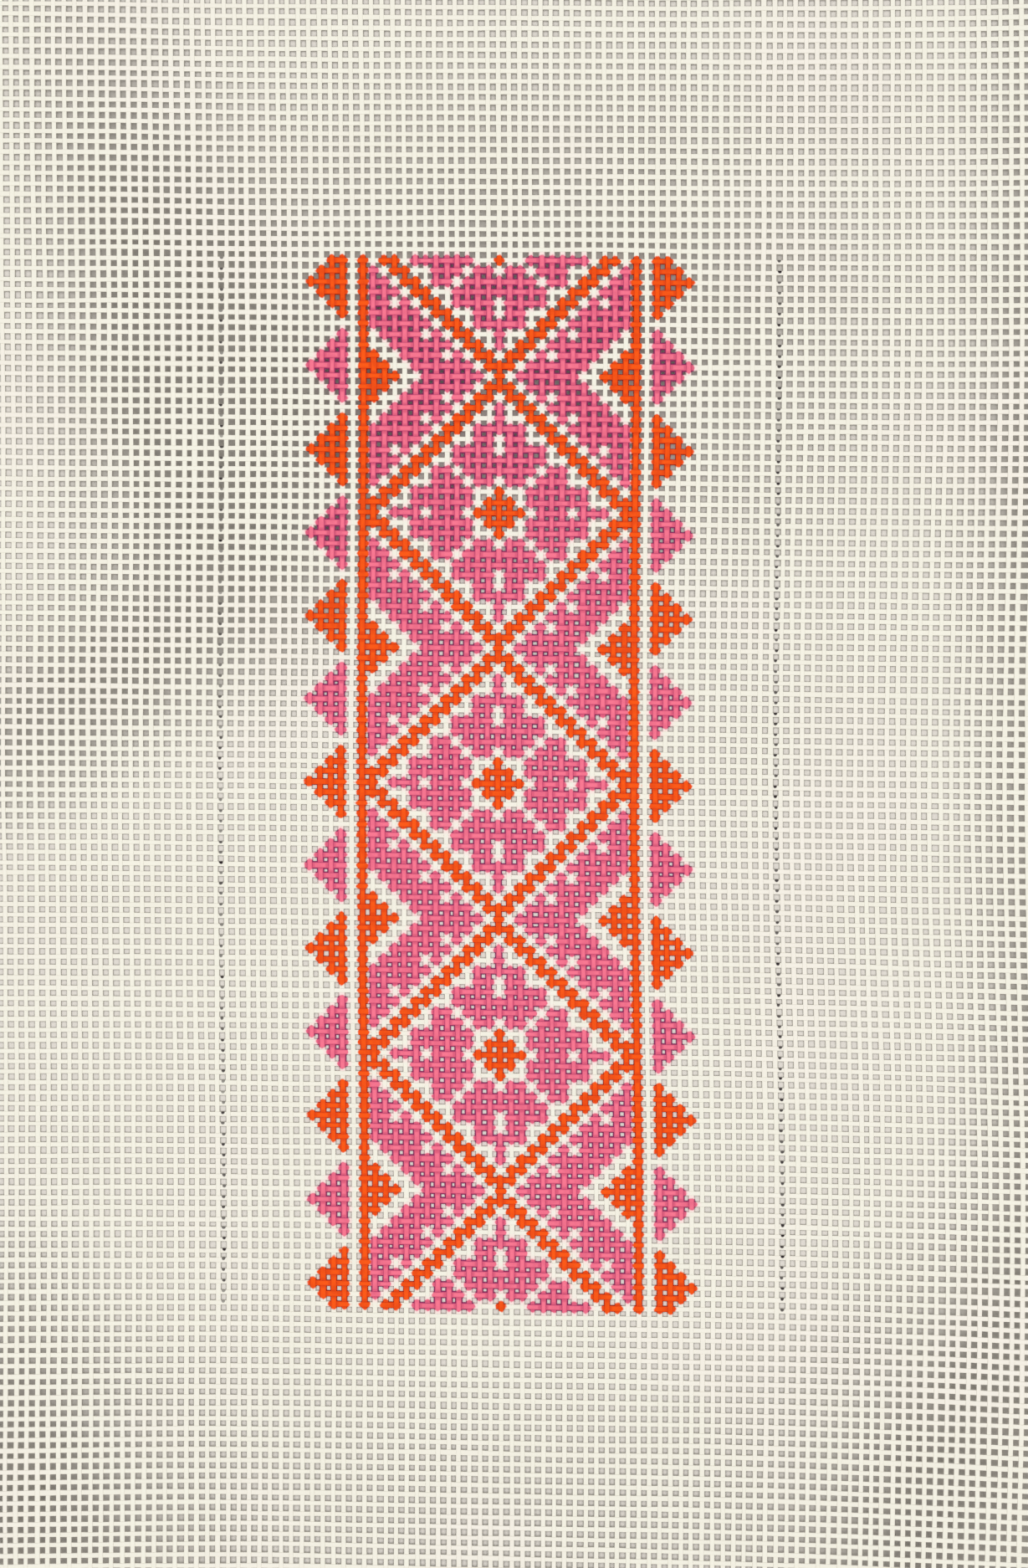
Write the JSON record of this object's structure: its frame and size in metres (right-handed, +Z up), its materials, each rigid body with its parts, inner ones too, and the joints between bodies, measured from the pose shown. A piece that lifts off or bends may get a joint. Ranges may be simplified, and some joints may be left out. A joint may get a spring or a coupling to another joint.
{
  "type": "needlepoint canvas panel",
  "caption": "Cut rectangle of open evenweave needlepoint canvas with a painted counted band, lying loosely with lifted edges.",
  "frame": {"origin": "middle of the panel's outline, on the surface that it lies on", "axes": "+X across the panel, +Y up its length, +Z up off the surface"},
  "size_m": [0.2094, 0.3028, 0.0051],
  "materials": {
    "canvas_cotton": "matt, stiffened cotton"
  },
  "bodies": {
    "root": {"canvas": "canvas_cotton"}
  },
  "joints": []
}
